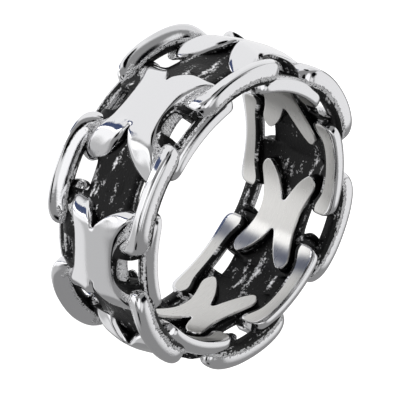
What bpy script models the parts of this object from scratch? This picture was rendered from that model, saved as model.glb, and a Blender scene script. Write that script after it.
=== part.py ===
# Chain link ring: one cast steel band, shaped like links of chain that hold each other.
# Metres, +Z up. The finger's axis is +Z, and the ring lies on its edge at z = 0.

import math

import bmesh
import bpy

# Driving sizes
bore_diameter = 0.0198
band_width = 0.0094
wall = 0.00268
links = 6
outer_waist = 0.0040
outer_thickness = 0.00125
inner_waist = 0.0039
inner_thickness = 0.00105
inner_bar_width = 0.00125
inner_bar_height = 0.00125
outer_bar_width = 0.00130
outer_bar_height = 0.00185
crown_fall = 0.00012
spine_thickness = 0.00090
spine_wave = 0.00045
web_thickness = 0.00070
web_sink = 0.00015
window_length = 0.0022
seat = 0.00015
plate_edge_bevel = 0.00018
web_half_angle = math.radians(3.0)
sharp_angle = math.radians(35)
weld = 0.000001

# Sizes that follow from them
bore_radius = bore_diameter / 2
half_width = band_width / 2
half_pitch = math.pi / links
window_half_angle = window_length / 2 / (bore_radius + wall / 2)

# One arm of an X shaped plate, from the plate's middle to the arm's tip.
# along: share of the half pitch. inner: the arm's edge on the notch, as a share of half the waist,
# or None where the plate is whole. outer: its other edge, as a share of the way from the waist
# to the side bars. drop: how far the top lies below the crown, as a share of the wall.
# body: the thickness, as a share of the plate's own.
OUTER_PLATE = [
    # along, inner, outer, drop, body
    (0.00, None, 0.00, 0.07, 1.00),
    (0.19, None, 0.00, 0.055, 1.00),
    (0.35, 0.05, 0.12, 0.02, 1.00),
    (0.50, 0.34, 0.50, 0.03, 0.90),
    (0.65, 0.78, 0.86, 0.15, 0.75),
    (0.76, 1.06, 0.90, 0.34, 0.62),
    (0.84, 1.25, 0.78, 0.52, 0.50),
]
INNER_PLATE = [
    # along, inner, outer, drop, body
    (0.00, None, 0.00, 0.00, 1.00),
    (0.12, None, 0.02, 0.00, 1.00),
    (0.22, 0.05, 0.06, 0.00, 1.00),
    (0.40, 0.28, 0.30, 0.00, 1.00),
    (0.58, 0.52, 0.52, 0.00, 1.00),
    (0.71, 0.84, 0.36, 0.00, 1.00),
]

# How much of a bar's section its corners cut off, as a share of the section's own size
bar_corner_share = 0.28
ground_corner_share = 0.07

# Half of a side bar, from its middle to its rounded end. inner and outer are its two edges, as
# shares of its width counted inwards from the band's edge. low and high are shares of its height.
INNER_BAR = [
    # along, inner, outer, low, high
    (0.00, 1.00, 0.00, 0.00, 1.00),
    (0.22, 1.00, 0.00, 0.00, 1.00),
    (0.44, 1.08, 0.00, 0.00, 1.00),
    (0.62, 1.30, 0.04, 0.00, 0.97),
    (0.74, 1.40, 0.20, 0.00, 0.88),
    (0.80, 1.20, 0.50, 0.00, 0.62),
]
OUTER_BAR = [
    # along, inner, outer, low, high
    (0.00, 1.00, 0.00, 0.00, 1.00),
    (0.24, 1.00, 0.00, 0.01, 0.99),
    (0.44, 1.10, 0.02, 0.05, 0.96),
    (0.58, 1.48, 0.04, 0.08, 0.92),
    (0.68, 1.92, 0.14, 0.12, 0.86),
    (0.75, 1.95, 0.42, 0.22, 0.74),
]


def remove_everything():
    for thing in list(bpy.data.objects):
        bpy.data.objects.remove(thing)


def new_collection(name):
    collection = bpy.data.collections.new(name)
    bpy.context.scene.collection.children.link(collection)
    return collection


def new_object(name, bm, collection):
    bmesh.ops.recalc_face_normals(bm, faces=bm.faces[:])
    if bm.calc_volume(signed=True) < 0:
        bmesh.ops.reverse_faces(bm, faces=bm.faces[:])
    mesh = bpy.data.meshes.new(name)
    bm.to_mesh(mesh)
    bm.free()
    mesh.shade_smooth()
    mesh.set_sharp_from_angle(angle=sharp_angle)
    thing = bpy.data.objects.new(name, mesh)
    collection.objects.link(thing)
    return thing


def strip_sheet(columns, rows):
    """A flat grid, the column and row of each of its vertices, and a layer for their floors."""
    bm = bmesh.new()
    floor = bm.verts.layers.float.new("floor")
    bmesh.ops.create_grid(bm, x_segments=columns - 1, y_segments=rows - 1, size=0.5)
    places = []
    for vertex in bm.verts:
        column = round((vertex.co.x + 0.5) * (columns - 1))
        row = round((vertex.co.y + 0.5) * (rows - 1))
        places.append((vertex, column, row))
    return bm, places, floor


def drop_faces(bm, unwanted):
    """Delete the faces of the sheet that the test picks out."""
    faces = [face for face in bm.faces if unwanted(face)]
    bmesh.ops.delete(bm, geom=faces, context="FACES")


def thicken(bm, floor):
    """Close the sheet with a second one at each vertex's own floor."""
    grown = bmesh.ops.extrude_face_region(bm, geom=bm.faces[:])
    for item in grown["geom"]:
        if isinstance(item, bmesh.types.BMVert):
            item.co.z = item[floor]


def wrap(bm):
    """Turn (angle, across, depth) into a place on the band."""
    for vertex in bm.verts:
        angle, across, depth = vertex.co
        radius = bore_radius + depth
        vertex.co = (radius * math.cos(angle), radius * math.sin(angle), half_width + across)


def mirrored(table):
    """The rows from one end to the other, each with its sign."""
    return [(-1, row) for row in reversed(table[1:])] + [(1, row) for row in table]


def break_rim(bm, floor):
    """Bevel the rim of a sheet's top side."""
    on_top = {vertex for vertex in bm.verts if vertex.co.z > vertex[floor] + seat}
    rim = [edge for edge in bm.edges if all(vertex in on_top for vertex in edge.verts)
           and any(not all(vertex in on_top for vertex in face.verts) for face in edge.link_faces)]
    bmesh.ops.bevel(bm, geom=rim, offset=plate_edge_bevel, segments=1, profile=0.5,
                    affect="EDGES", material=-1, clamp_overlap=True)


def plate(name, table, middle, waist, bar_edge, crown, thickness, inward, collection):
    """An X shaped plate. inward is 1 if its body lies under its top, -1 if over it."""
    rows = mirrored(table)
    bm, places, floor = strip_sheet(len(rows), 4)
    half_waist = waist / 2
    notch = set()
    for vertex, column, row in places:
        sign, (along, inner, outer, drop, body) = rows[column]
        outer_edge = half_waist + outer * (bar_edge - half_waist)
        inner_edge = outer_edge / 3 if inner is None else inner * half_waist
        across = (-outer_edge, -inner_edge, inner_edge, outer_edge)[row]
        fall = crown_fall if inward > 0 and row in (0, 3) else 0.0
        top = crown - inward * drop * wall - fall
        vertex.co = (middle + sign * along * half_pitch, across, top)
        vertex[floor] = top - inward * body * thickness
        if inner is not None and row in (1, 2):
            notch.add(vertex)
    drop_faces(bm, lambda face: all(vertex in notch for vertex in face.verts))
    thicken(bm, floor)
    if inward > 0:
        break_rim(bm, floor)
    wrap(bm)
    return new_object(name, bm, collection)


def section(edges, depths, floor_corner, top_corner):
    """The eight corners of a bar's section, as (across, depth), round from the floor."""
    low_cut = floor_corner
    high_cut = 1 - top_corner
    shares = [(low_cut, 0), (1 - low_cut, 0), (1, low_cut), (1, high_cut),
              (high_cut, 1), (top_corner, 1), (0, high_cut), (0, low_cut)]
    outer, inner = edges
    low, high = depths
    return [(outer + u * (inner - outer), low + v * (high - low)) for u, v in shares]


def side_bar(name, table, middle, side, width, base, height, floor_corner, collection):
    """A bar along one edge of the band, lofted from section to section. side is 1 or -1."""
    bm = bmesh.new()
    corner = bm.verts.layers.int.new("corner")
    disc = bmesh.ops.create_circle(bm, cap_ends=True, segments=8, radius=width)["verts"]
    for index, vertex in enumerate(disc):
        vertex[corner] = index
    ring = disc
    for column, (sign, (along, inner, outer, low, high)) in enumerate(mirrored(table)):
        if column > 0:
            cap = [face for face in bm.faces if all(vertex in ring for vertex in face.verts)]
            grown = bmesh.ops.extrude_face_region(bm, geom=cap)
            ring = [item for item in grown["geom"] if isinstance(item, bmesh.types.BMVert)]
        if column > 1:
            bmesh.ops.delete(bm, geom=cap, context="FACES_ONLY")
        edges = (half_width - outer * width, half_width - inner * width)
        depths = (base + low * height, base + high * height)
        corners = section(edges, depths, floor_corner, bar_corner_share)
        for vertex in ring:
            across, depth = corners[vertex[corner]]
            vertex.co = (middle + sign * along * half_pitch, side * across, depth)
    wrap(bm)
    return new_object(name, bm, collection)


def core(name, collection):
    """The wavy wall under the plates: a spine with a web to the side bars on each side of a window."""
    window = window_half_angle / half_pitch
    web = web_half_angle / half_pitch
    steps = (0.0, window, 0.5 - web, 0.5 + web, 1.0 - window)
    spots = [half + step for half in range(2 * links) for step in steps]
    columns = len(spots) + 1
    bm, places, floor = strip_sheet(columns, 5)
    spine = min(outer_waist, inner_waist) / 2 - seat
    foot = half_width - min(inner_bar_width, outer_bar_width) / 2
    for vertex, column, row in places:
        along = (spots + [2.0 * links])[column]
        on_spine = row in (1, 2, 3)
        shift = spine_wave * math.cos(math.pi * along) if on_spine else -web_sink
        half = (spine_thickness if on_spine else web_thickness) / 2
        across = (-foot, -spine, 0.0, spine, foot)[row]
        vertex.co = (along * half_pitch, across, wall / 2 + shift + half)
        vertex[floor] = wall / 2 + shift - half

    def in_window(face):
        centre = face.calc_center_median()
        share = (centre.x / half_pitch) % 1.0
        return abs(centre.y) > spine and (share < window or share > 1.0 - window)

    drop_faces(bm, in_window)
    thicken(bm, floor)
    ends = (0.0, 2 * math.pi)
    seam = [face for face in bm.faces
            if any(all(math.isclose(vertex.co.x, end, abs_tol=weld) for vertex in face.verts)
                   for end in ends)]
    bmesh.ops.delete(bm, geom=seam, context="FACES")
    wrap(bm)
    bmesh.ops.remove_doubles(bm, verts=bm.verts[:], dist=weld)
    return new_object(name, bm, collection)


def polished_steel():
    material = bpy.data.materials.new("polished_steel")
    material.use_nodes = True
    shader = material.node_tree.nodes["Principled BSDF"]
    shader.inputs["Base Color"].default_value = (0.62, 0.62, 0.63, 1.0)
    shader.inputs["Metallic"].default_value = 1.0
    shader.inputs["Roughness"].default_value = 0.18
    return material


def cast_members(collection):
    """Outer and inner plates by turns, and the bars that run along both edges between them."""
    for link in range(links):
        at_outer = 2 * link * half_pitch
        at_inner = at_outer + half_pitch
        plate(f"outer_plate_{link}", OUTER_PLATE, at_outer, outer_waist,
              half_width - outer_bar_width, wall, outer_thickness, 1, collection)
        plate(f"inner_plate_{link}", INNER_PLATE, at_inner, inner_waist,
              half_width - inner_bar_width, 0.0, inner_thickness, -1, collection)
        for side, mark in ((1, "upper"), (-1, "lower")):
            side_bar(f"inner_bar_{mark}_{link}", INNER_BAR, at_outer, side, inner_bar_width,
                     0.0, inner_bar_height, ground_corner_share, collection)
            side_bar(f"outer_bar_{mark}_{link}", OUTER_BAR, at_inner, side, outer_bar_width,
                     wall - outer_bar_height, outer_bar_height, bar_corner_share, collection)


def fuse(thing, members):
    """Join the members to the thing, as they are cast in one piece."""
    for member in members.objects:
        member.hide_render = True
        member.display_type = "WIRE"
    modifier = thing.modifiers.new("fuse", "BOOLEAN")
    modifier.operation = "UNION"
    modifier.solver = "EXACT"
    modifier.operand_type = "COLLECTION"
    modifier.collection = members


def build():
    remove_everything()
    parts = new_collection("chain_link_ring")
    members = new_collection("cast_members")
    band = core("cast_chain_band", parts)
    cast_members(members)
    fuse(band, members)
    band.data.materials.append(polished_steel())


build()
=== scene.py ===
# %% [markdown]
# # A chain link ring
# The ring is one steel casting that looks like links of chain holding each other. Here it is
# dressed for a photograph: smooth polished plates and bars, a bore ground to a satin, and
# deep recesses left rough from the mould and blackened.
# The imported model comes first, because every size below is taken from it.

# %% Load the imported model
import math

import bmesh
import bpy
from mathutils import Matrix, Vector


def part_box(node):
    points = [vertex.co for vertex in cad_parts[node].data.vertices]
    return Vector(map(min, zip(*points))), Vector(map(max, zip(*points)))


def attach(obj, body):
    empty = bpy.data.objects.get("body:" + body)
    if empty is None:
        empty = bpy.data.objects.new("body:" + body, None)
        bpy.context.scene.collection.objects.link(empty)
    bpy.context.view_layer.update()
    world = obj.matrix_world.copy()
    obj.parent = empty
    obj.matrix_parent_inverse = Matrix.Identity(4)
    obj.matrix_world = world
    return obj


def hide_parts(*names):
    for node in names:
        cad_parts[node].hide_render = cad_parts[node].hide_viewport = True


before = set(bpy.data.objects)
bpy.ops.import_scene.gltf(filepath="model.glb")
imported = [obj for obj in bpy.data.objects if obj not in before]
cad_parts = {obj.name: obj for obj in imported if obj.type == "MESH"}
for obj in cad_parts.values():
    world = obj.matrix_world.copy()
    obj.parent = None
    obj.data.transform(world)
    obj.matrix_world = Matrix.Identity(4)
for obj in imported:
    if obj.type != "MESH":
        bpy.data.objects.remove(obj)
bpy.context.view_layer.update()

node = "cast_chain_band"
low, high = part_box(node)
print("packed ring, metres:", tuple(low), tuple(high))

# %% [markdown]
# The band is worked out flat, as a strip of sheet that is rolled up at the end. A place on the
# flat strip is an angle round the finger, a distance across the band from its middle, and a
# depth, measured outwards from the bore. That keeps every shape a simple table, and the same
# table serves six times round the ring.

# %% Sizes of the band
links = 6
half_pitch = math.pi / links
lead = 0.09
half_width = (high.z - low.z) / 2
middle_height = (high.z + low.z) / 2
outside_radius = high.y
bore_radius = 0.0099
wall = outside_radius - bore_radius
mm = 0.001
print(f"bore {bore_radius * 2 / mm:.1f} mm, wall {wall / mm:.2f} mm, width {half_width * 2 / mm:.1f} mm")

# %% [markdown]
# The photograph is taken from far away with a long lens, so nothing tapers. The ring's axis
# leans to the right in the picture. Here the ring lies on its side, as it would by itself, and
# the camera is rolled instead, which gives the same picture.

# %% Camera
camera_azimuth = math.radians(263.16)
camera_elevation = math.radians(36.12)
camera_roll = math.radians(114.28)
camera_distance = 0.7222
camera_lens = 864.8
aim_shift_x = -0.0059
aim_shift_y = -0.0074

camera_data = bpy.data.cameras.new("studio_camera")
camera_data.lens = camera_lens
camera_data.sensor_width = 36.0
camera_data.shift_x = aim_shift_x
camera_data.shift_y = aim_shift_y
camera_data.clip_start = 0.05
camera = bpy.data.objects.new("studio_camera", camera_data)
bpy.context.collection.objects.link(camera)
bpy.context.scene.camera = camera


def direction(azimuth, elevation):
    """The unit vector that points that way from the ring."""
    level = math.cos(elevation)
    return Vector((level * math.cos(azimuth), level * math.sin(azimuth), math.sin(elevation)))


ring_middle = Vector((0.0, 0.0, middle_height))
to_camera = direction(camera_azimuth, camera_elevation)
camera.matrix_world = (
    Matrix.Translation(ring_middle + camera_distance * to_camera)
    @ to_camera.to_track_quat("Z", "Y").to_matrix().to_4x4()
    @ Matrix.Rotation(camera_roll, 4, "Z")
)
print("camera at", tuple(round(value, 3) for value in camera.location))

# %% [markdown]
# Every piece goes through the same three steps. It is shaped flat with bmesh operators, its
# vertices are told how rough they stay, and then it is rolled round the finger. Three layers are
# kept on the vertices: `unrolled`, the place on the flat strip in millimetres; `cast`, which is 0
# where the steel was polished and 1 where it stays as it came from the mould; and `floor`, the
# depth of the underside.

# %% Helpers for the flat strip
root = "root"
pieces = bpy.data.collections.new("chain_link_ring")
bpy.context.scene.collection.children.link(pieces)


def flat_mesh():
    """An empty bmesh with the layers that the materials read."""
    bm = bmesh.new()
    bm.verts.layers.float_vector.new("unrolled")
    bm.verts.layers.float.new("cast")
    bm.verts.layers.float.new("floor")
    return bm


def two_ended(first, last):
    """The rows of a piece from end to end, each with its sign. Both tables start at the middle."""
    return [(-1, row) for row in reversed(first[1:])] + [(1, row) for row in last]


def roll_up(bm):
    """Turn (angle, across, depth) into a place on the band, and keep the flat place."""
    unrolled = bm.verts.layers.float_vector["unrolled"]
    for vertex in bm.verts:
        angle, across, depth = vertex.co
        vertex[unrolled] = (angle * bore_radius / mm, across / mm, depth / mm)
        radius = bore_radius + depth
        vertex.co = (radius * math.cos(angle), radius * math.sin(angle), middle_height + across)


def finish_piece(name, bm, materials, levels):
    """Make the object, smooth it, and let it ride on the ring's body in place of the CAD node."""
    bmesh.ops.recalc_face_normals(bm, faces=bm.faces[:])
    if bm.calc_volume(signed=True) < 0:
        bmesh.ops.reverse_faces(bm, faces=bm.faces[:])
    mesh = bpy.data.meshes.new(name)
    bm.to_mesh(mesh)
    bm.free()
    mesh.shade_smooth()
    for material in materials:
        mesh.materials.append(material)
    piece = bpy.data.objects.new(name, mesh)
    pieces.objects.link(piece)
    smooth = piece.modifiers.new("smooth", "SUBSURF")
    smooth.levels = levels
    smooth.render_levels = levels
    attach(piece, root)
    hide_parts(node)
    return piece


# %% [markdown]
# Steel is a metal, so its colour is the colour of what it mirrors. What makes the three
# finishes differ is how rough they are and what lies in the roughness. One small function adds
# a node, and another turns the hex colour of a swatch into the linear numbers that Blender uses.

# %% Helpers for materials


def linear(hex_colour):
    """The linear colour, with alpha, of an sRGB hex value."""
    channels = [int(hex_colour[start:start + 2], 16) / 255 for start in (1, 3, 5)]
    curved = [c / 12.92 if c <= 0.04045 else ((c + 0.055) / 1.055) ** 2.4 for c in channels]
    return (*curved, 1.0)


def add_node(tree, kind, settings, links):
    """Add a node, set its properties and sockets, and link its inputs."""
    made = tree.nodes.new(kind)
    for key, value in settings.items():
        if isinstance(key, str) and hasattr(made, key):
            setattr(made, key, value)
        else:
            made.inputs[key].default_value = value
    for socket, source in links.items():
        tree.links.new(source, made.inputs[socket])
    return made


def new_material(name):
    material = bpy.data.materials.new(name)
    material.use_nodes = True
    return material, material.node_tree, material.node_tree.nodes["Principled BSDF"]


# %% [markdown]
# **Cast grain.** A casting keeps the grain of its mould, here about 0.17 mm, which is a little
# coarser than a fine mould leaves, so that it shows in the picture. The ring is then blackened
# all over, and polishing clears the high places: tops of grains shine and pits stay black.

# %% Cast finish, as a part of a material
grain_size = 0.17
black_oxide = linear("#050506")
grain_steel = linear("#F0F0F2")
bare_steel = linear("#E4E4E6")


def cast_finish(tree):
    """The place on the flat strip and the grain of the mould, as sockets."""
    flat = add_node(tree, "ShaderNodeAttribute", {"attribute_name": "unrolled"}, {}).outputs["Vector"]
    grain = add_node(tree, "ShaderNodeTexNoise", {"Scale": 1 / grain_size, "Detail": 2.0,
                                                  "Roughness": 0.6}, {"Vector": flat}).outputs["Fac"]
    return flat, grain


# %% [markdown]
# **Polished steel.** The wheel reaches the plates and the outsides of the bars. The `cast` layer
# says how far it came, and the grain makes that edge ragged. Past the edge the steel is rough,
# speckled and partly black. Where the wheel passed lightly, in patches a few millimetres across,
# a trace of the grain is left in the polish.

# %% Polished steel
clearing_size = 0.9
sand_size = 2.6
cast_relief = 0.25 * mm


def polished_steel():
    """316L steel, mirror polished, with the cast grain where the wheel didn't reach."""
    material, tree, shader = new_material("mirror_polished_316L_steel")
    cast = add_node(tree, "ShaderNodeAttribute", {"attribute_name": "cast"}, {}).outputs["Fac"]
    flat, grain = cast_finish(tree)
    patch = add_node(tree, "ShaderNodeTexNoise", {"Scale": 1 / clearing_size, "Detail": 1.0},
                     {"Vector": flat}).outputs["Fac"]
    ragged = add_node(tree, "ShaderNodeMath", {"operation": "MULTIPLY_ADD", 1: 0.9, 2: -0.45},
                      {0: grain}).outputs[0]
    edge = add_node(tree, "ShaderNodeMath", {"operation": "ADD"}, {0: cast, 1: ragged}).outputs[0]
    rough_share = add_node(tree, "ShaderNodeMapRange", {"From Min": 0.42, "From Max": 0.58},
                           {"Value": edge}).outputs[0]
    shine = add_node(tree, "ShaderNodeMath", {"operation": "MULTIPLY_ADD", 1: 0.45},
                     {0: patch, 2: grain}).outputs[0]
    deep = add_node(tree, "ShaderNodeMath", {"operation": "MULTIPLY_ADD", 1: -0.25},
                    {0: cast, 2: shine}).outputs[0]
    flecks = add_node(tree, "ShaderNodeMapRange", {"From Min": 0.41, "From Max": 0.46},
                      {"Value": deep}).outputs[0]
    cast_colour = add_node(tree, "ShaderNodeMix", {"data_type": "RGBA", 6: black_oxide, 7: grain_steel},
                           {0: flecks}).outputs[2]
    colour = add_node(tree, "ShaderNodeMix", {"data_type": "RGBA", 6: bare_steel},
                      {0: rough_share, 7: cast_colour}).outputs[2]
    scuffs = add_node(tree, "ShaderNodeTexNoise", {"Scale": 7.0, "Detail": 3.0}, {"Vector": flat})
    soft = add_node(tree, "ShaderNodeMapRange", {"To Min": 0.03, "To Max": 0.13},
                    {"Value": scuffs.outputs["Fac"]}).outputs[0]
    roughness = add_node(tree, "ShaderNodeMix", {"data_type": "FLOAT", 3: 0.24},
                         {0: rough_share, 2: soft}).outputs[0]
    worn = add_node(tree, "ShaderNodeTexNoise", {"Scale": 1 / sand_size, "Detail": 1.0},
                    {"Vector": flat}).outputs["Fac"]
    sand = add_node(tree, "ShaderNodeMapRange", {"From Min": 0.50, "From Max": 0.66,
                                                 "To Min": 0.008, "To Max": 0.026},
                    {"Value": worn}).outputs[0]
    relief = add_node(tree, "ShaderNodeMapRange", {"To Max": 1.0},
                      {"Value": rough_share, "To Min": sand}).outputs[0]
    height = add_node(tree, "ShaderNodeMath", {"operation": "MULTIPLY"},
                      {0: grain, 1: relief}).outputs[0]
    bump = add_node(tree, "ShaderNodeBump", {"Strength": 1.0, "Distance": cast_relief},
                    {"Height": height}).outputs[0]
    metal = add_node(tree, "ShaderNodeMapRange", {"To Min": 1.0, "To Max": 0.2},
                     {"Value": rough_share}).outputs[0]
    tree.links.new(metal, shader.inputs["Metallic"])
    tree.links.new(colour, shader.inputs["Base Color"])
    tree.links.new(roughness, shader.inputs["Roughness"])
    tree.links.new(bump, shader.inputs["Normal"])
    return material


polished = polished_steel()

# %% [markdown]
# **Blackened steel.** No wheel reaches the recesses, so they stay under glossy black oxide.
# Something rubs them open in streaks, least in the corners, which an ambient occlusion node finds.

# %% Blackened steel
corner_reach = 1.2 * mm
recess_relief = 0.08 * mm


def blackened_steel():
    """The floor of the recesses: glossy black oxide, and bright grains where it was rubbed open."""
    material, tree, shader = new_material("blackened_cast_steel")
    flat, grain = cast_finish(tree)
    along = add_node(tree, "ShaderNodeVectorMath", {"operation": "MULTIPLY", 1: (0.5, 1.5, 3.0)},
                     {0: flat}).outputs[0]
    streak = add_node(tree, "ShaderNodeTexNoise", {"Scale": 1.0, "Detail": 1.0},
                      {"Vector": along}).outputs["Fac"]
    rubbed = add_node(tree, "ShaderNodeMapRange", {"From Min": 0.50, "From Max": 0.72},
                      {"Value": streak}).outputs[0]
    open_air = add_node(tree, "ShaderNodeAmbientOcclusion", {"Distance": corner_reach, "samples": 8}, {})
    bare = add_node(tree, "ShaderNodeMath", {"operation": "MULTIPLY"},
                    {0: rubbed, 1: open_air.outputs["AO"]}).outputs[0]
    level = add_node(tree, "ShaderNodeMath", {"operation": "MULTIPLY_ADD", 1: 0.42},
                     {0: bare, 2: grain}).outputs[0]
    flecks = add_node(tree, "ShaderNodeMapRange", {"From Min": 0.69, "From Max": 0.98},
                      {"Value": level}).outputs[0]
    colour = add_node(tree, "ShaderNodeMix", {"data_type": "RGBA", 6: black_oxide, 7: grain_steel},
                      {0: flecks}).outputs[2]
    bump = add_node(tree, "ShaderNodeBump", {"Strength": 0.5, "Distance": recess_relief},
                    {"Height": grain}).outputs[0]
    tree.links.new(colour, shader.inputs["Base Color"])
    tree.links.new(flecks, shader.inputs["Metallic"])
    shader.inputs["Roughness"].default_value = 0.36
    shader.inputs["Specular IOR Level"].default_value = 0.2
    tree.links.new(bump, shader.inputs["Normal"])
    return material


blackened = blackened_steel()

# %% [markdown]
# **Ground bore.** The bore is ground round the finger, which leaves fine lines and a gloss that
# stretches across them. Real grinding lines are too fine to show here, so nine to the millimetre
# are drawn. The stretched gloss follows a tangent that runs round the axis.

# %% Ground steel
lines_per_mm = 9.0


def ground_steel():
    """The bore, ground round the finger: fine lines along the band and a soft, stretched gloss."""
    material, tree, shader = new_material("satin_ground_316L_steel")
    flat = add_node(tree, "ShaderNodeAttribute", {"attribute_name": "unrolled"}, {}).outputs["Vector"]
    along = add_node(tree, "ShaderNodeVectorMath", {"operation": "MULTIPLY", 1: (0.12, 1.0, 0.0)},
                     {0: flat}).outputs[0]
    lines = add_node(tree, "ShaderNodeTexNoise", {"Scale": lines_per_mm, "Detail": 3.0},
                     {"Vector": along}).outputs["Fac"]
    colour = add_node(tree, "ShaderNodeMix", {"data_type": "RGBA", 6: linear("#C9C8C6"),
                                              7: linear("#E2E1DF")}, {0: lines}).outputs[2]
    rough = add_node(tree, "ShaderNodeMapRange", {"To Min": 0.24, "To Max": 0.34},
                     {"Value": lines}).outputs[0]
    place = add_node(tree, "ShaderNodeTexCoord", {}, {}).outputs["Object"]
    round_finger = add_node(tree, "ShaderNodeVectorMath", {"operation": "CROSS_PRODUCT",
                                                           0: (0.0, 0.0, 1.0)}, {1: place}).outputs[0]
    shader.inputs["Metallic"].default_value = 1.0
    shader.inputs["Anisotropic"].default_value = 0.9
    shader.inputs["Anisotropic Rotation"].default_value = 0.25
    tree.links.new(colour, shader.inputs["Base Color"])
    tree.links.new(rough, shader.inputs["Roughness"])
    tree.links.new(round_finger, shader.inputs["Tangent"])
    return material


ground = ground_steel()
print("materials:", polished.name, blackened.name, ground.name)

# %% [markdown]
# **Plates.** An X shaped plate is a grid with its two notches taken out, made thick. A table runs
# from the middle to one end, and the other half of the width is its mirror image. Lengths are
# shares: `along` of the half pitch, `inner` and `outer` of half the band's width, `fall` of the
# wall. `inner` is None where the plate is whole. On the outer plates the notch has a polished
# slope: `lip` is its upper edge, and `dip` says how far below the arm's crest it ends. The two
# ends differ, as in the photograph: one has long claws that sink slowly, the other short ones.

# %% Tables of the plates
WAIST = [
    # along, inner, lip, outer, fall, dip
    (0.00, None, None, 0.445, 0.070, 0.00),
    (0.17, None, None, 0.455, 0.057, 0.00),
    (0.30, None, None, 0.485, 0.034, 0.00),
]
LONG_END = WAIST + [
    (0.375, 0.01, 0.03, 0.520, 0.018, 0.03),
    (0.43, 0.02, 0.06, 0.550, 0.010, 0.06),
    (0.50, 0.035, 0.13, 0.600, 0.012, 0.10),
    (0.58, 0.075, 0.19, 0.650, 0.062, 0.12),
    (0.66, 0.135, 0.26, 0.695, 0.135, 0.14),
    (0.74, 0.21, 0.34, 0.735, 0.220, 0.14),
    (0.81, 0.31, 0.43, 0.760, 0.305, 0.13),
    (0.87, 0.42, 0.52, 0.755, 0.390, 0.10),
    (0.915, 0.52, 0.59, 0.720, 0.470, 0.06),
    (0.945, 0.60, 0.64, 0.670, 0.540, 0.00),
]
SHORT_END = WAIST + [
    (0.365, 0.01, 0.03, 0.520, 0.018, 0.04),
    (0.42, 0.05, 0.09, 0.555, 0.010, 0.10),
    (0.47, 0.10, 0.15, 0.590, 0.006, 0.14),
    (0.52, 0.16, 0.21, 0.625, 0.010, 0.16),
    (0.57, 0.22, 0.28, 0.660, 0.030, 0.18),
    (0.615, 0.29, 0.35, 0.690, 0.070, 0.18),
    (0.655, 0.37, 0.43, 0.705, 0.140, 0.16),
    (0.69, 0.46, 0.51, 0.690, 0.250, 0.12),
    (0.715, 0.55, 0.57, 0.650, 0.360, 0.06),
]
INNER_PLATE = [
    # along, inner, outer
    (0.00, None, 0.395),
    (0.10, None, 0.400),
    (0.17, None, 0.412),
    (0.22, 0.015, 0.428),
    (0.34, 0.075, 0.470),
    (0.46, 0.145, 0.525),
    (0.57, 0.225, 0.575),
    (0.66, 0.31, 0.560),
    (0.73, 0.40, 0.490),
]

# %% [markdown]
# Both kinds of plate start as the same sheet, with its notches cut and its underside added. Four
# small helpers do that.

# %% Helpers for the plates


def plate_sheet(rows, rows_across):
    """A flat X shaped sheet: the bmesh, and for each vertex its sign, table row and row across."""
    bm = flat_mesh()
    bmesh.ops.create_grid(bm, x_segments=len(rows) - 1, y_segments=rows_across - 1, size=0.5)
    places = []
    for vertex in bm.verts:
        column = round((vertex.co.x + 0.5) * (len(rows) - 1))
        row = round((vertex.co.y + 0.5) * (rows_across - 1))
        places.append((vertex, rows[column], row))
    return bm, places


def cut_notches(bm, notch):
    faces = [face for face in bm.faces if all(vertex in notch for vertex in face.verts)]
    bmesh.ops.delete(bm, geom=faces, context="FACES")


def make_thick(bm):
    """Close the sheet with a second one, at the depth kept in the floor layer."""
    floor = bm.verts.layers.float["floor"]
    cast = bm.verts.layers.float["cast"]
    grown = bmesh.ops.extrude_face_region(bm, geom=bm.faces[:])
    for item in grown["geom"]:
        if isinstance(item, bmesh.types.BMVert):
            item.co.z = item[floor]
            item[cast] = 1.0


def rim_of(bm, near):
    """The edges between the face side of the sheet and its walls. near picks the face side's vertices."""
    side = {vertex for vertex in bm.verts if near(vertex)}
    return [edge for edge in bm.edges if all(vertex in side for vertex in edge.verts)
            and any(not all(vertex in side for vertex in face.verts) for face in edge.link_faces)]


# %% [markdown]
# **Outer plates.** They are domed, and each edge has a narrow slope. The flanks spread towards the
# underside, and on the short end the lower claw bends down, as the photograph shows.

# %% Outer plates
outer_body = 1.3 * mm
arm_body = 1.0 * mm
least_body = 0.25 * mm
floor_share = 0.10
dome = 0.15
waist_share = 0.43
chamfer_share = 0.055
chamfer_drop = 0.10
lip_drop = 0.01
flank_start = 0.38
flank_ramp = 12
flank_spread = 0.15
rim_cast = 0.50
curl_start = 0.40
curl = 1.3


def across_rows(inner, lip, outer):
    """The ten rows across the sheet, as shares of half the width."""
    crest = outer - chamfer_share
    if inner is None:
        rows = (0.12 * crest, 0.36 * crest, 0.72 * crest, crest, outer)
    else:
        crest = max(crest, lip + 0.4 * (outer - lip))
        rows = (inner, lip, (lip + crest) / 2, crest, outer)
    return tuple(-row for row in reversed(rows)) + rows


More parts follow.
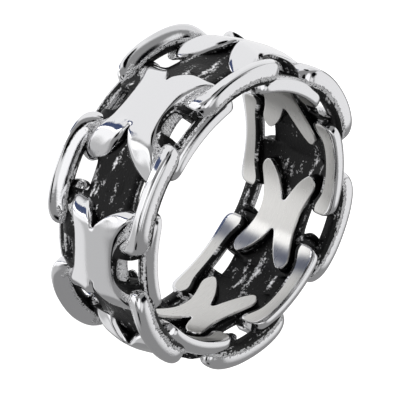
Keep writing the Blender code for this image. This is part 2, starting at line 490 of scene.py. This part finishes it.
def outer_plate(number):
    """Domed and polished, with arms that curl down like claws and cast flanks."""
    middle = 2 * number * half_pitch
    bm, places = plate_sheet(two_ended(SHORT_END, LONG_END), 10)
    floor = bm.verts.layers.float["floor"]
    cast = bm.verts.layers.float["cast"]
    crease = bm.edges.layers.float.new("crease_edge")
    notch, lips, crests, rims = set(), set(), set(), set()
    for vertex, (sign, (along, inner, lip, outer, fall, dip)), row in places:
        across = across_rows(inner, lip, outer)[row]
        step = max(row - 5, 4 - row)
        lowered = dome * min(1.0, abs(across) / waist_share) ** 2
        lowered += chamfer_drop if step == 4 else 0.0
        if inner is not None:
            lowered += (dip, lip_drop, 0.0, 0.0, 0.0)[step]
            if step == 0:
                notch.add(vertex)
            if step == 1:
                lips.add(vertex)
        if step == 3:
            crests.add(vertex)
        if step == 4:
            rims.add(vertex)
        if sign < 0 and across < 0:
            lowered += curl * max(0.0, along - curl_start)
        top = wall * (1.0 - fall - lowered)
        body = outer_body if inner is None else arm_body
        vertex.co = (middle + sign * along * half_pitch, across * half_width, top)
        vertex[floor] = max(floor_share * wall, min(wall * (1.0 - fall) - body, top - least_body))
    cut_notches(bm, notch)
    for edge in bm.edges:
        for line, sharpness in ((lips, 0.5), (crests, 0.35), (rims, 0.55)):
            if all(vertex in line for vertex in edge.verts):
                edge[crease] = sharpness
    make_thick(bm)
    for vertex in bm.verts:
        if vertex[cast] > 0.5:
            side = math.copysign(1.0, vertex.co.y)
            wide = max(0.0, abs(vertex.co.y) / half_width - flank_start)
            vertex.co.y += side * flank_spread * half_width * min(1.0, flank_ramp * wide)
    for face in bm.faces:
        below = [vertex[cast] > 0.5 for vertex in face.verts]
        if all(below) or (any(below) and any(vertex in notch for vertex in face.verts)):
            face.material_index = 1
    for vertex in rims:
        vertex[cast] = rim_cast
    roll_up(bm)
    return finish_piece(f"outer_plate_{number}", bm, [polished, blackened], 2)


plates = [outer_plate(number) for number in range(links)]
print(len(plates), "outer plates")

# %% [markdown]
# **Inner plates.** These lie on the bore and are ground flat with it, so they need no dome and no
# claws. A small bevel catches the light along their rims.

# %% Inner plates
inner_body = 1.15 * mm
rim_bevel = 0.07 * mm


def inner_rows(inner, outer):
    """The eight rows across an inner plate, as shares of half the width."""
    if inner is None:
        rows = (0.12 * outer, 0.32 * outer, 0.68 * outer, outer)
    else:
        rows = (inner, inner + 0.3 * (outer - inner), inner + 0.65 * (outer - inner), outer)
    return tuple(-row for row in reversed(rows)) + rows


def inner_plate(number):
    """Ground flat on the bore, and blackened on its other side."""
    middle = (2 * number + 1) * half_pitch
    bm, places = plate_sheet(two_ended(INNER_PLATE, INNER_PLATE), 8)
    floor = bm.verts.layers.float["floor"]
    cast = bm.verts.layers.float["cast"]
    notch = set()
    for vertex, (sign, (along, inner, outer)), row in places:
        across = inner_rows(inner, outer)[row] * half_width
        if inner is not None and row in (3, 4):
            notch.add(vertex)
        vertex.co = (middle + sign * along * half_pitch, across, 0.0)
        vertex[floor] = inner_body * (0.7, 0.92, 1.0, 1.0, 1.0, 1.0, 0.92, 0.7)[row]
    cut_notches(bm, notch)
    make_thick(bm)
    rim = rim_of(bm, lambda vertex: vertex[cast] < 0.5)
    bmesh.ops.bevel(bm, geom=rim, offset=rim_bevel, segments=1, profile=0.5, affect="EDGES",
                    material=-1, clamp_overlap=True)
    bm.normal_update()
    for face in bm.faces:
        if face.normal.z < -0.95:
            face.material_index = 1
        elif face.normal.z < -0.3:
            face.material_index = 2
    roll_up(bm)
    return finish_piece(f"inner_plate_{number}", bm, [blackened, ground, polished], 2)


plates += [inner_plate(number) for number in range(links)]
print(len(plates), "plates in all")

# %% [markdown]
# ** Side bars.** A bar is lofted: one outline is extruded from station to station, and each
# station gives its edges and its height. The bars on the bore are ground flat there. The ones
# outside have one plain end and one that hooks in towards the next plate. The upper ones are
# round, and the lower ones slope down to the window. The ones outside sit a little further
# round than the plates, by `lead`, a share of the half pitch.

# %% Tables of the side bars
INNER_BAR = [
    # along, inner, outer, low, high
    (0.00, 0.715, 1.000, 0.00, 0.46),
    (0.16, 0.713, 1.000, 0.00, 0.46),
    (0.32, 0.705, 1.000, 0.00, 0.46),
    (0.46, 0.675, 1.000, 0.00, 0.46),
    (0.57, 0.600, 0.998, 0.00, 0.46),
    (0.66, 0.560, 0.985, 0.00, 0.45),
    (0.73, 0.590, 0.930, 0.00, 0.40),
    (0.77, 0.660, 0.820, 0.00, 0.30),
]
BAR_MIDDLE = [
    # along, inner, outer, low, high
    (0.00, 0.770, 1.000, 0.30, 1.00),
    (0.16, 0.770, 1.000, 0.30, 1.00),
    (0.30, 0.765, 1.000, 0.29, 0.99),
]
# Outer bars, from the middle to the end that hooks in
HOOKED_END = BAR_MIDDLE + [
    (0.42, 0.745, 1.000, 0.26, 0.97),
    (0.52, 0.690, 0.995, 0.22, 0.95),
    (0.60, 0.580, 0.980, 0.20, 0.92),
    (0.67, 0.490, 0.950, 0.22, 0.86),
    (0.72, 0.480, 0.880, 0.28, 0.78),
    (0.755, 0.560, 0.780, 0.38, 0.68),
]
# Outer bars, from the middle to the end that stays beside the window
PLAIN_END = BAR_MIDDLE + [
    (0.42, 0.755, 1.000, 0.26, 0.97),
    (0.52, 0.735, 0.995, 0.24, 0.95),
    (0.60, 0.700, 0.980, 0.24, 0.92),
    (0.67, 0.680, 0.955, 0.26, 0.86),
    (0.72, 0.695, 0.920, 0.32, 0.78),
    (0.755, 0.740, 0.860, 0.40, 0.68),
]
ROUND_SECTION = [(0.00, 0.20), (0.00, 0.58), (0.04, 0.84), (0.16, 0.97), (0.36, 1.00), (0.64, 1.00),
                 (0.84, 0.94), (0.96, 0.80), (1.00, 0.56), (1.00, 0.20), (0.92, 0.04), (0.64, 0.00),
                 (0.36, 0.00), (0.08, 0.04)]
WEDGE_SECTION = [(0.00, 0.25), (0.00, 0.62), (0.03, 0.86), (0.11, 0.98), (0.25, 1.00), (0.48, 0.92),
                 (0.72, 0.78), (0.90, 0.60), (1.00, 0.40), (0.98, 0.14), (0.80, 0.00), (0.42, 0.00),
                 (0.08, 0.05)]
GROUND_SECTION = [(0.05, 0.0), (0.95, 0.0), (1.0, 0.07), (1.0, 0.50), (0.90, 0.85), (0.65, 1.0),
                  (0.35, 1.0), (0.10, 0.85), (0.0, 0.50), (0.0, 0.07)]


def side_bar(name, tables, outline, middle, side, materials, roughness):
    """Loft a bar along one edge of the band. outline is in shares, from the outer edge and the floor."""
    bm = flat_mesh()
    corner = bm.verts.layers.int.new("corner")
    cast = bm.verts.layers.float["cast"]
    ring = bmesh.ops.create_circle(bm, cap_ends=True, segments=len(outline), radius=mm)["verts"]
    for index, vertex in enumerate(ring):
        vertex[corner] = index
    for column, (sign, (along, inner, outer, base, top)) in enumerate(two_ended(*tables)):
        if column > 0:
            cap = [face for face in bm.faces if all(vertex in ring for vertex in face.verts)]
            grown = bmesh.ops.extrude_face_region(bm, geom=cap)
            ring = [item for item in grown["geom"] if isinstance(item, bmesh.types.BMVert)]
        if column > 1:
            bmesh.ops.delete(bm, geom=cap, context="FACES_ONLY")
        for vertex in ring:
            u, v = outline[vertex[corner]]
            across = side * half_width * (outer + u * (inner - outer))
            depth = wall * (base + v * (top - base))
            vertex.co = (middle + sign * along * half_pitch, across, depth)
            vertex[cast] = roughness(along, u, v)
    bm.normal_update()
    for face in bm.faces:
        if len(materials) > 1 and all(vertex.co.z < 0.01 * mm for vertex in face.verts):
            face.material_index = 1
        elif all(vertex[cast] > 0.9 for vertex in face.verts):
            face.material_index = len(materials) - 1
    roll_up(bm)
    return finish_piece(name, bm, materials, 2)


def inner_bar_roughness(along, u, v):
    """Polished on the band's edge, cast on the side that faces the window."""
    return 1.0 if u > 0.9 or v > 0.9 else 0.0


def outer_bar_roughness(along, u, v):
    """Polished outside, cast under the bar, on the window's side and where the ends hook in."""
    if v < 0.25 or (u > 0.85 and v < 0.6):
        return 1.0
    return 0.50 if along > 0.45 and u > 0.50 else 0.0


for number in range(links):
    for side, edge_name in ((1, "upper"), (-1, "lower")):
        side_bar(f"inner_bar_{edge_name}_{number}", (INNER_BAR, INNER_BAR), GROUND_SECTION,
                 2 * number * half_pitch, side, [polished, ground, blackened],
                 inner_bar_roughness)
        ends = (PLAIN_END, HOOKED_END) if side > 0 else (HOOKED_END, PLAIN_END)
        section = ROUND_SECTION if side > 0 else WEDGE_SECTION
        side_bar(f"outer_bar_{edge_name}_{number}", ends, section,
                 (2 * number + 1 + lead) * half_pitch, side, [polished, blackened],
                 outer_bar_roughness)
print(4 * links, "side bars")

# %% [markdown]
# **Core.** Under the plates runs a wavy spine, sunk towards the bore between the outer plates and
# towards the outside between the inner ones. Webs join it to the bars, and between the webs the
# ring is pierced by twenty-four small windows.

# %% Core
outer_window_share = 0.18
inner_window_share = 0.24
spine_edge = 0.45
web_middle = 0.66
bar_foot = 0.84
foot_top = 0.48
window_crease = 0.55
sharp_turn = math.radians(60)
SPINE = [
    # along, low, high
    (0.00, 0.50, 0.82),
    (0.18, 0.47, 0.78),
    (0.26, 0.43, 0.74),
    (0.38, 0.37, 0.67),
    (0.50, 0.32, 0.60),
    (0.62, 0.26, 0.53),
    (0.76, 0.19, 0.46),
    (0.86, 0.16, 0.42),
    (1.00, 0.14, 0.40),
]
WEB = [
    # along, low, high
    (0.00, 0.20, 0.80),
    (0.18, 0.20, 0.79),
    (0.26, 0.21, 0.75),
    (0.38, 0.22, 0.66),
    (0.50, 0.22, 0.55),
    (0.62, 0.21, 0.47),
    (0.76, 0.17, 0.43),
    (0.86, 0.15, 0.41),
    (1.00, 0.14, 0.40),
]


def core():
    spots = [along for along, _, _ in SPINE]
    spots = spots + [2.0 - along for along in reversed(spots[1:-1])]
    spots = [2 * number + along for number in range(links) for along in spots] + [2.0 * links]
    edges = (-bar_foot, -web_middle, -spine_edge, 0.0, spine_edge, web_middle, bar_foot)
    heights = {}
    for table, rows in ((SPINE, (2, 3, 4)), (WEB, (0, 1, 5, 6))):
        for along, low_share, high_share in table:
            for row in rows:
                top_share = min(high_share, foot_top) if row in (0, 6) else high_share
                heights[round(along, 2), row] = (low_share * wall, top_share * wall)
    bm = flat_mesh()
    floor = bm.verts.layers.float["floor"]
    cast = bm.verts.layers.float["cast"]
    crease = bm.edges.layers.float.new("crease_edge")
    bmesh.ops.create_grid(bm, x_segments=len(spots) - 1, y_segments=len(edges) - 1, size=0.5)
    for vertex in bm.verts:
        column = round((vertex.co.x + 0.5) * (len(spots) - 1))
        row = round((vertex.co.y + 0.5) * (len(edges) - 1))
        turn = spots[column] % 2.0
        bottom, top = heights[round(min(turn, 2.0 - turn), 2), row]
        vertex.co = ((spots[column] + lead) * half_pitch, edges[row] * half_width, top)
        vertex[floor] = bottom
        vertex[cast] = 1.0

    def in_window(face):
        centre = face.calc_center_median()
        turn = (centre.x / half_pitch - lead) % 2.0
        share = min(turn, 2.0 - turn)
        at_window = share < outer_window_share or share > 1 - inner_window_share
        return at_window and abs(centre.y) > spine_edge * half_width

    bmesh.ops.delete(bm, geom=[face for face in bm.faces if in_window(face)], context="FACES")
    make_thick(bm)
    bm.normal_update()
    for edge in bm.edges:
        first, second = edge.verts
        upright = (first.co.xy - second.co.xy).length < 0.01 * mm
        if not upright and len(edge.link_faces) == 2 and edge.calc_face_angle() > sharp_turn:
            edge[crease] = window_crease
    ends = (lead * half_pitch, 2 * math.pi + lead * half_pitch)
    seam = [face for face in bm.faces
            if any(all(math.isclose(vertex.co.x, end, abs_tol=0.0001) for vertex in face.verts)
                   for end in ends)]
    bmesh.ops.delete(bm, geom=seam, context="FACES")
    roll_up(bm)
    bmesh.ops.remove_doubles(bm, verts=bm.verts[:], dist=0.001 * mm)
    return finish_piece("core", bm, [blackened], 2)


core()

# %% [markdown]
# **Studio.** Mirrors show what stands round them, so the light is made of large soft cards. The
# world holds them: a dim room with white cards, and dark ones that draw the lines along the bars.
# A card in a table covers the ones above it.

# %% Studio cards
ROUND_CARDS = [
    # azimuth, elevation, half width, softness, brightness, colour
    (180, -42, 60, 14, 1.00, "#FFFFFF"),
    (290, -50, 28, 16, 1.20, "#FFFFFF"),
    (322, -76, 10, 10, 1.30, "#FFFFFF"),
    (337, -34, 20, 14, 0.60, "#FFFFFF"),
    (12, -62, 16, 12, 0.90, "#FFFFFF"),
    (112, 34, 24, 8, 0.95, "#FFFFFF"),
    (165, 4, 13, 8, 0.85, "#FFFFFF"),
    (238, 62, 13, 7, 0.95, "#FFFFFF"),
    (275, 64, 20, 8, 1.20, "#FFFFFF"),
    (285, 28, 14, 8, 0.90, "#FFFFFF"),
    (80, 78, 9, 8, 0.90, "#FFFFFF"),
    (208, 14, 11, 6, 0.02, "#181C28"),
    (112, -14, 7, 5, 0.02, "#141418"),
    (300, 6, 9, 5, 0.05, "#20242C"),
    (345, 22, 11, 7, 0.05, "#20242C"),
    (145, 62, 10, 8, 0.08, "#202430"),
    (277, -12, 9, 5, 1.35, "#FFFFFF"),
    (265, 33, 9, 5, 0.02, "#2A1C14"),
    (246, -50, 9, 3, 0.22, "#7F9AE4"),
    (246, -67, 11, 3, 0.22, "#7F9AE4"),
]
UPRIGHT_CARDS = [
    # azimuth, half width, softness, brightness, colour
    (246, 5, 2, 0.26, "#94A8E0"),
    (258, 3, 2, 2.10, "#FFFFFF"),
]
room_brightness = 0.30
front_fade = (0.1, 0.2)
low_fade = (-0.30, -0.40)


def mix_card(tree, share, card_colour, behind):
    """One card in front of what is behind it: a colour, or a socket."""
    settings, links = {"data_type": "RGBA", 7: card_colour}, {0: share}
    if isinstance(behind, tuple):
        settings[6] = behind
    else:
        links[6] = behind
    return add_node(tree, "ShaderNodeMix", settings, links).outputs[2]


def smooth_share(tree, value, off, full):
    return add_node(tree, "ShaderNodeMapRange", {"interpolation_type": "SMOOTHSTEP",
                                                 "From Min": off, "From Max": full},
                    {"Value": value}).outputs[0]


def studio_world():
    world = bpy.data.worlds.new("studio")
    bpy.context.scene.world = world
    world.use_nodes = True
    tree = world.node_tree
    back = tree.nodes["Background"]
    way = add_node(tree, "ShaderNodeTexCoord", {}, {}).outputs["Generated"]
    colour = (room_brightness, room_brightness, room_brightness, 1.0)
    for azimuth, elevation, half, softness, brightness, tint in ROUND_CARDS:
        towards = direction(math.radians(azimuth), math.radians(elevation))
        close = add_node(tree, "ShaderNodeVectorMath", {"operation": "DOT_PRODUCT", 1: towards},
                         {0: way}).outputs["Value"]
        share = smooth_share(tree, close, math.cos(math.radians(half + softness)),
                             math.cos(math.radians(half)))
        shade = tuple(brightness * channel for channel in linear(tint)[:3]) + (1.0,)
        colour = mix_card(tree, share, shade, colour)
    for azimuth, half, softness, brightness, tint in UPRIGHT_CARDS:
        beside = direction(math.radians(azimuth + 90), 0.0)
        ahead = direction(math.radians(azimuth), 0.0)
        off_centre = add_node(tree, "ShaderNodeVectorMath", {"operation": "DOT_PRODUCT", 1: beside},
                              {0: way}).outputs["Value"]
        distance = add_node(tree, "ShaderNodeMath", {"operation": "ABSOLUTE"}, {0: off_centre}).outputs[0]
        in_strip = smooth_share(tree, distance, math.sin(math.radians(half + softness)),
                                math.sin(math.radians(half)))
        facing = add_node(tree, "ShaderNodeVectorMath", {"operation": "DOT_PRODUCT", 1: ahead},
                          {0: way}).outputs["Value"]
        in_front = smooth_share(tree, facing, *front_fade)
        low_half = add_node(tree, "ShaderNodeSeparateXYZ", {}, {"Vector": way}).outputs["Z"]
        below = smooth_share(tree, low_half, *low_fade)
        share = add_node(tree, "ShaderNodeMath", {"operation": "MULTIPLY"},
                         {0: in_strip, 1: in_front}).outputs[0]
        share = add_node(tree, "ShaderNodeMath", {"operation": "MULTIPLY"},
                         {0: share, 1: below}).outputs[0]
        shade = tuple(brightness * channel for channel in linear(tint)[:3]) + (1.0,)
        colour = mix_card(tree, share, shade, colour)
    plain = add_node(tree, "ShaderNodeLightPath", {}, {}).outputs["Is Camera Ray"]
    seen = add_node(tree, "ShaderNodeMix", {"data_type": "RGBA", 7: (1.0, 1.0, 1.0, 1.0)},
                    {0: plain, 6: colour}).outputs[2]
    tree.links.new(seen, back.inputs["Color"])
    back.inputs["Strength"].default_value = 1.0


studio_world()

# %% [markdown]
# **Floor.** The ring lies on a pale matt board that glows a little, as a lit backdrop does. The
# steel doesn't mirror it, so that only the cards show in the polish.

# %% Floor
floor_size = 2.0
board_glow = 0.85
bm = bmesh.new()
bmesh.ops.create_grid(bm, x_segments=1, y_segments=1, size=floor_size)
floor_mesh = bpy.data.meshes.new("studio_floor")
bm.to_mesh(floor_mesh)
bm.free()
floor_object = bpy.data.objects.new("studio_floor", floor_mesh)
bpy.context.scene.collection.objects.link(floor_object)
floor_object.visible_glossy = False

board, _, board_shader = new_material("matt_white_board")
board_shader.inputs["Base Color"].default_value = linear("#F2F2F2")
board_shader.inputs["Roughness"].default_value = 0.9
board_shader.inputs["Emission Color"].default_value = (1.0, 1.0, 1.0, 1.0)
board_shader.inputs["Emission Strength"].default_value = board_glow
floor_mesh.materials.append(board)

bpy.context.scene.view_settings.view_transform = "Standard"
